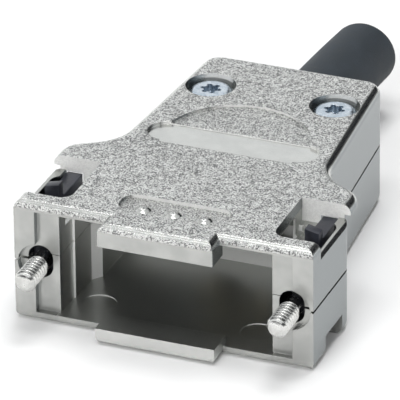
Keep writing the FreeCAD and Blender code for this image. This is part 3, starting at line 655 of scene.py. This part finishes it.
# %% [markdown]
# Each screw keeps the rear of its solid: shank, waist and slotted head. The front is cut
# off at the plug face, and the thread takes its place.

# %% Threaded jackscrews
PITCH = 25.4 / 40
THREAD_R = 1.42
THREAD_DEPTH = 0.36
THREAD_LAP = 0.05
TIP = 0.4
THREAD_SIDES = 64
RINGS_PER_TURN = 20


def make_jackscrew(side):
    node_name = "jackscrew_" + side
    low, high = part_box(node_name)
    length = FRONT_Y * MM - low.y + THREAD_LAP * MM
    work = merged_copy(node_name)
    everything = work.verts[:] + work.edges[:] + work.faces[:]
    cut = (0, (FRONT_Y + THREAD_LAP / 2) * MM, 0)
    bmesh.ops.bisect_plane(work, geom=everything, plane_co=cut, plane_no=(0, 1, 0),
                           clear_inner=True)
    piece = object_from(work, node_name + "_threaded")
    modifier = piece.modifiers.new("thread", "NODES")
    modifier.node_group = thread_tree
    set_inputs(modifier, {
        "Radius": THREAD_R * MM, "Depth": THREAD_DEPTH * MM, "Pitch": PITCH * MM,
        "Length": length, "Tip": TIP * MM, "Sides": THREAD_SIDES,
        "Rings": round(length / (PITCH * MM) * RINGS_PER_TURN),
        "Place": ((low.x + high.x) / 2, low.y + length / 2, (low.z + high.z) / 2),
        "Finish": jackscrew_steel,
    })
    apply_modifiers(piece)
    take_place(piece, node_name, node_name)


for side in ("left", "right"):
    make_jackscrew(side)

# %% [markdown]
# Moulded plastic has no sharp corners. A narrow bevel lets every edge of the carriers
# catch a thin line of light, which is what makes a black piece readable.

# %% Bevelled carriers
CARRIER_BEVEL = 0.12
CARRIER_BEVEL_STEPS = 2


def make_carrier(side):
    node_name = "screw_carrier_" + side
    piece = object_from(merged_copy(node_name), node_name + "_moulded")
    piece.data.materials.append(carrier_plastic)
    bevel = piece.modifiers.new("bevel", "BEVEL")
    bevel.width = CARRIER_BEVEL * MM
    bevel.segments = CARRIER_BEVEL_STEPS
    bevel.limit_method = "ANGLE"
    bevel.angle_limit = SMOOTH_ANGLE
    bevel.use_clamp_overlap = True
    apply_modifiers(piece)
    take_place(piece, node_name, "carrier_" + side)


for side in ("left", "right"):
    make_carrier(side)

# %% [markdown]
# The rubber sleeve isn't stiff: in the picture its free end hangs a little. Its profile is
# a list of places along the axis with a radius for each, outside first, then back through
# the bore. The profile is turned about the axis, and behind the hood every ring is
# shifted down and to the right by an amount that grows with the square of the distance.

# %% Hanging sleeve
SLEEVE_SIDES = 96
SLEEVE_ROWS = 48
SLEEVE_AXIS_Z = 8.1
SLEEVE_ROOT_R = 4.7
SLEEVE_END_R = 4.4
SLEEVE_BORE_R = 3.2
SLEEVE_COLLAR_R = 5.6
SLEEVE_COLLAR = (-3.0, -1.6)
SLEEVE_END_ROUND = 0.5
SLEEVE_ROUND_STEPS = 4
SLEEVE_DROP = 0.1
SLEEVE_SWING = 0.9


def sleeve_profile(front, end):
    """(place along Y, radius) from the front, round the free end and back inside."""
    collar_front, collar_rear = (REAR_Y + offset for offset in SLEEVE_COLLAR)
    root = [(front, SLEEVE_ROOT_R), (collar_front, SLEEVE_ROOT_R),
            (collar_front, SLEEVE_COLLAR_R), (collar_rear, SLEEVE_COLLAR_R),
            (collar_rear, SLEEVE_ROOT_R), (REAR_Y, SLEEVE_ROOT_R)]
    straight_end = end - SLEEVE_END_ROUND
    outside = []
    for row in range(1, SLEEVE_ROWS + 1):
        share = row / SLEEVE_ROWS
        outside.append((REAR_Y + (straight_end - REAR_Y) * share,
                        SLEEVE_ROOT_R + (SLEEVE_END_R - SLEEVE_ROOT_R) * share))
    rounding = []
    for step in range(1, SLEEVE_ROUND_STEPS + 1):
        angle = math.radians(90 * step / SLEEVE_ROUND_STEPS)
        rounding.append((straight_end + SLEEVE_END_ROUND * math.sin(angle),
                         SLEEVE_END_R - SLEEVE_END_ROUND * (1 - math.cos(angle))))
    inside = [(end, SLEEVE_BORE_R)]
    inside += [(place, SLEEVE_BORE_R) for place, _ in reversed(outside)]
    inside += [(REAR_Y, SLEEVE_BORE_R), (front, SLEEVE_BORE_R)]
    return root + outside + rounding + inside


def sleeve_ring(place, radius, end):
    """One ring of the sleeve, shifted where it hangs behind the hood."""
    out = max(0.0, (place - REAR_Y) / (end - REAR_Y)) ** 2
    points = []
    for step in range(SLEEVE_SIDES):
        angle = 2 * math.pi * step / SLEEVE_SIDES
        across = radius * math.cos(angle) + SLEEVE_SWING * out
        height = SLEEVE_AXIS_Z + radius * math.sin(angle) - SLEEVE_DROP * out
        points.append(Vector((across, place, height)) * MM)
    return points


def make_sleeve():
    low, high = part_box("cable_sleeve")
    front, end = low.y / MM, high.y / MM
    rings = [sleeve_ring(place, radius, end) for place, radius in sleeve_profile(front, end)]
    points = [point for ring in rings for point in ring]
    faces = []
    for row in range(len(rings)):
        near, far = row * SLEEVE_SIDES, (row + 1) % len(rings) * SLEEVE_SIDES
        for step in range(SLEEVE_SIDES):
            after = (step + 1) % SLEEVE_SIDES
            faces.append((near + step, far + step, far + after, near + after))
    mesh = bpy.data.meshes.new("cable_sleeve_hanging")
    mesh.from_pydata(points, [], faces)
    mesh.materials.append(sleeve_rubber)
    piece = bpy.data.objects.new("cable_sleeve_hanging", mesh)
    bpy.context.scene.collection.objects.link(piece)
    take_place(piece, "cable_sleeve", "hood")


make_sleeve()

# %% [markdown]
# A studio for a catalogue picture is mostly white: a pale floor, a soft light overhead,
# a second one above for the floor, one in front and a weak one at the left. Together
# they light a level surface about as bright as its own colour.
# The second lamp and the one in front aren't mirrored in the metal. The second is almost
# straight above, so the hood's shadow is darkest at its foot.
# Away from the hood the floor turns pure white for what is seen, directly or in metal.
# Shiny metal shows its room, and needs something dark to reflect: a dark area behind on
# the right draws the black line along the right-hand edges, and one in front keeps the
# hollow dark.

# %% Floor
FLOOR_HALF = 10.0
FLOOR_COLOUR = (0.90, 0.90, 0.90, 1)
FLOOR_ROUGHNESS = 0.9
GLOW_COLOUR = (1, 1, 1, 1)
GLOW_PLACES = (20.0, 260.0)
GLOW_STRENGTHS = (0.05, 0.9)


def seen_ray(tree):
    """1 for what is seen, directly or in metal, and 0 for light on its way."""
    path = add(tree, "ShaderNodeLightPath").outputs
    mirrored = math_node(tree, "MAXIMUM", path["Is Glossy Ray"], path["Is Transmission Ray"])
    return math_node(tree, "MAXIMUM", path["Is Camera Ray"], mirrored)


def make_floor():
    mesh = bpy.data.meshes.new("floor")
    corners = [(-FLOOR_HALF, -FLOOR_HALF, 0), (FLOOR_HALF, -FLOOR_HALF, 0),
               (FLOOR_HALF, FLOOR_HALF, 0), (-FLOOR_HALF, FLOOR_HALF, 0)]
    mesh.from_pydata(corners, [], [(0, 1, 2, 3)])
    material, tree, shader = start_material("floor_white")
    place, _ = in_millimetres(tree)
    away = add(tree, "ShaderNodeVectorMath", {0: place}, operation="LENGTH").outputs["Value"]
    glow = product(tree, seen_ray(tree), smooth_step(tree, away, *GLOW_PLACES, *GLOW_STRENGTHS))
    for name, value in (("Base Color", FLOOR_COLOUR), ("Roughness", FLOOR_ROUGHNESS),
                        ("Emission Color", GLOW_COLOUR), ("Emission Strength", glow)):
        fill(tree, shader.inputs[name], value)
    mesh.materials.append(material)
    floor = bpy.data.objects.new("floor", mesh)
    bpy.context.scene.collection.objects.link(floor)


make_floor()

# %% Room
ROOM_LIGHT = (0.97, 0.99, 1.0, 1)
ROOM_DARK = (0.015, 0.016, 0.02, 1)
ROOM_STRENGTH = 0.28
SEEN_STRENGTH = 1.0
DARK_BEHIND_X = (-0.20, -0.04)
DARK_BEHIND_Y = (0.25, 0.55)
DARK_BEHIND_Z = (0.70, 0.56)
DARK_FRONT_Y = (-0.25, -0.50)
DARK_FRONT_Z = (0.62, 0.48)
ABOVE_HORIZON = (0.05, 0.12)


def make_room():
    """A white room with a dark area behind on the right and one in front."""
    world = bpy.data.worlds.new("room")
    world.use_nodes = True
    tree = world.node_tree
    tree.nodes.clear()
    x, y, z = split(tree, add(tree, "ShaderNodeTexCoord").outputs["Generated"])
    behind = product(tree, smooth_step(tree, y, *DARK_BEHIND_Y),
                     smooth_step(tree, x, *DARK_BEHIND_X), smooth_step(tree, z, *DARK_BEHIND_Z))
    front = product(tree, smooth_step(tree, y, *DARK_FRONT_Y),
                    smooth_step(tree, z, *DARK_FRONT_Z))
    dark = product(tree, math_node(tree, "MAXIMUM", behind, front),
                   smooth_step(tree, z, *ABOVE_HORIZON))
    colour = mix_colour(tree, dark, ROOM_LIGHT, ROOM_DARK)
    strength = mix_number(tree, seen_ray(tree), ROOM_STRENGTH, SEEN_STRENGTH)
    background = add(tree, "ShaderNodeBackground", {"Color": colour, "Strength": strength})
    output = add(tree, "ShaderNodeOutputWorld")
    tree.links.new(background.outputs[0], output.inputs["Surface"])
    bpy.context.scene.world = world


make_room()

# %% Lamps: name, place, aim and size in metres, power in watts, mirrored in metal or not
LAMPS = [
    ("overhead", (0.0, -0.17, 0.66), (0, 0, 0), (0.34, 0.20), 1.5, True),
    ("floor_key", (0.02, 0.15, 0.68), (0, 0, 0), (0.26, 0.26), 2.1, False),
    ("front_fill", (-0.02, -0.60, 0.28), (0, 0, 0.008), (0.3, 0.3), 1.8, False),
    ("left_fill", (-0.75, 0.10, 0.35), (0, 0, 0.01), (0.5, 0.4), 0.3, True),
]


def make_lamp(name, place, aim, size, power, mirrored):
    data = bpy.data.lights.new(name, "AREA")
    data.shape = "RECTANGLE"
    data.size, data.size_y = size
    data.energy = power
    lamp = bpy.data.objects.new(name, data)
    lamp.visible_glossy = mirrored
    lamp.location = place
    lamp.rotation_euler = (Vector(aim) - Vector(place)).to_track_quat("-Z", "Y").to_euler()
    bpy.context.scene.collection.objects.link(lamp)


for settings in LAMPS:
    make_lamp(*settings)
bpy.context.scene.view_settings.view_transform = "Standard"
